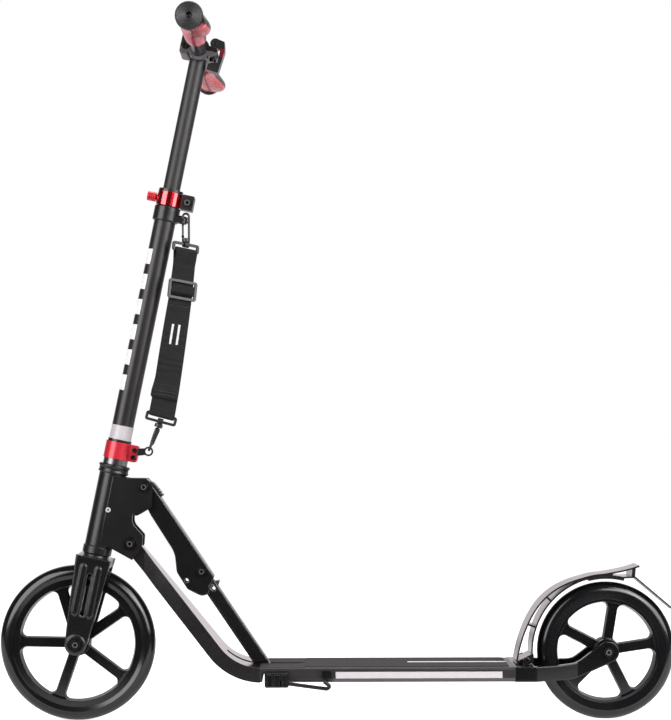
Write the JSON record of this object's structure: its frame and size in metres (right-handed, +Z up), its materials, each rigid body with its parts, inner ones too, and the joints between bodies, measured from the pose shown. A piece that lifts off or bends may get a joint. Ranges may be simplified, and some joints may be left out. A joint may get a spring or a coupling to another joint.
{
  "type": "folding kick scooter",
  "caption": "Two-wheel folding kick scooter with a spoked wheel at each end, low deck, folding brace, height-adjustable bar, foot brake fender, kickstand and carrying strap.",
  "frame": {"origin": "on the ground plane, in the middle of the overall length and width", "axes": "+X to the rear, +Y to the rider's right, +Z up"},
  "size_m": [0.9984, 0.468, 1.0118],
  "materials": {
    "satin_black": "satin black powder coat",
    "black_plastic": "moulded, fine grain",
    "gloss_black": "gloss",
    "tyre": "cast, smooth",
    "red_anodised": "red anodised",
    "pale_trim": "pale printed film",
    "steel": "black oxide and bright steel",
    "grip_rubber": "soft, fine texture",
    "grip_tape": "gritted sheet",
    "webbing": "woven nylon",
    "pad": "moulded"
  },
  "bodies": {
    "deck": {"deck": "satin_black", "grip_tape": "grip_tape", "side_stripes": "pale_trim", "down_tube": "satin_black", "rear_fork": "satin_black", "cross_pins": "steel", "kickstand_block": "black_plastic", "kickstand_clip": "black_plastic", "rear_axle": "steel"},
    "strut": {"lower_strut": "satin_black"},
    "lock": {"lock_pin": "steel"},
    "head": {"head_tube": "satin_black", "fold_bracket": "satin_black", "fold_bolts": "steel", "headset_cups": "satin_black", "headset_bearings": "steel"},
    "link": {"upper_link": "satin_black", "link_cap": "black_plastic", "knee_bolt": "steel"},
    "fork": {"fork": "satin_black", "steerer_tube": "steel", "front_axle": "steel", "stem_tube": "satin_black", "stem_clamp": "red_anodised", "clamp_bolts": "steel", "stem_band": "pale_trim", "stem_rings": "gloss_black", "strap_eyelet": "steel", "lug_collar": "satin_black", "quick_collar": "red_anodised", "quick_jaws": "black_plastic", "quick_bolt": "steel", "guide_bush": "black_plastic", "strap_webbing": "webbing", "strap_buckles": "black_plastic", "snap_hooks": "black_plastic"},
    "handlebar": {"inner_tube": "satin_black", "slide_bush": "black_plastic", "bar_saddle": "satin_black", "bar_cap": "satin_black", "bar_bolts": "steel", "crossbar": "satin_black", "grips": "grip_rubber", "end_caps": "grip_rubber"},
    "front_wheel": {"front_rim": "gloss_black", "front_tyre": "tyre", "front_bearings": "steel"},
    "rear_wheel": {"rear_rim": "gloss_black", "rear_tyre": "tyre", "rear_bearings": "steel"},
    "fender": {"fender": "black_plastic", "brake_pad": "pad", "mudflap": "black_plastic"},
    "kickstand": {"kickstand_leg": "steel"},
    "quick_lever": {"quick_lever": "black_plastic"},
    "bar_lever": {"bar_lever": "black_plastic"},
    "index_knob": {"index_knob": "red_anodised"},
    "upper_gate": {"upper_gate": "steel"},
    "lower_gate": {"lower_gate": "steel"}
  },
  "joints": [
    {"name": "fold", "type": "hinge", "parent": "deck", "child": "head", "pos_m": [-0.3052, 0, 0.262], "axis": [0, 1, 0], "range_deg": [0, 77]},
    {"name": "strut_swing", "type": "hinge", "parent": "deck", "child": "strut", "pos_m": [-0.1018, 0, 0.0745], "axis": [0, 1, 0], "range_deg": [0, 45]},
    {"name": "link_swing", "type": "hinge", "parent": "head", "child": "link", "pos_m": [-0.2845, 0, 0.3455], "axis": [0, 1, 0], "range_deg": [-128.2, 0]},
    {"name": "lock_slide", "type": "slide", "parent": "strut", "child": "lock", "axis": [0.559, 0, -0.8292], "range_m": [0, 0.005], "stiffness_N_per_m": 800},
    {"name": "steering", "type": "hinge", "parent": "head", "child": "fork", "pos_m": [-0.3842, 0, 0.115], "axis": [0.2045, 0, 0.9789], "continuous": true},
    {"name": "front_wheel_spin", "type": "hinge", "parent": "fork", "child": "front_wheel", "pos_m": [-0.3842, 0, 0.115], "axis": [0, 1, 0], "continuous": true},
    {"name": "rear_wheel_spin", "type": "hinge", "parent": "deck", "child": "rear_wheel", "pos_m": [0.3977, 0, 0.1015], "axis": [0, 1, 0], "continuous": true},
    {"name": "height", "type": "slide", "parent": "fork", "child": "handlebar", "axis": [0.2045, 0, 0.9789], "range_m": [-0.16, 0]},
    {"name": "plunger", "type": "slide", "parent": "fork", "child": "index_knob", "axis": [-0.9789, 0, 0.2045], "range_m": [0, 0.005], "stiffness_N_per_m": 800},
    {"name": "quick_release", "type": "hinge", "parent": "fork", "child": "quick_lever", "pos_m": [-0.21978, 0.0195, 0.76511], "axis": [-0.2045, 0, -0.9789], "range_deg": [0, 90]},
    {"name": "bar_release", "type": "hinge", "parent": "handlebar", "child": "bar_lever", "pos_m": [-0.17776, 0, 1.0005], "axis": [0, -1, 0], "range_deg": [0, 90]},
    {"name": "foot_brake", "type": "hinge", "parent": "deck", "child": "fender", "pos_m": [0.2778, 0, 0.089], "axis": [0, 1, 0], "range_deg": [0, 1.75], "stiffness_Nm_per_rad": 60},
    {"name": "kickstand_swing", "type": "hinge", "parent": "deck", "child": "kickstand", "pos_m": [-0.0822, -0.064, 0.063], "axis": [0, 1, 0], "range_deg": [0, 50]},
    {"name": "upper_gate_swing", "type": "hinge", "parent": "fork", "child": "upper_gate", "pos_m": [-0.22684, -0.00767, 0.7155], "axis": [0, 1, 0], "range_deg": [0, 20], "stiffness_Nm_per_rad": 0.05},
    {"name": "lower_gate_swing", "type": "hinge", "parent": "fork", "child": "lower_gate", "pos_m": [-0.26394, -0.0285, 0.43105], "axis": [0.9293, 0, -0.3693], "range_deg": [0, 14], "stiffness_Nm_per_rad": 0.05}
  ],
  "couplings": [
    {"joint": "strut_swing", "follows": "fold", "ratio": 0.58164},
    {"joint": "link_swing", "follows": "fold", "ratio": -1.6616}
  ]
}
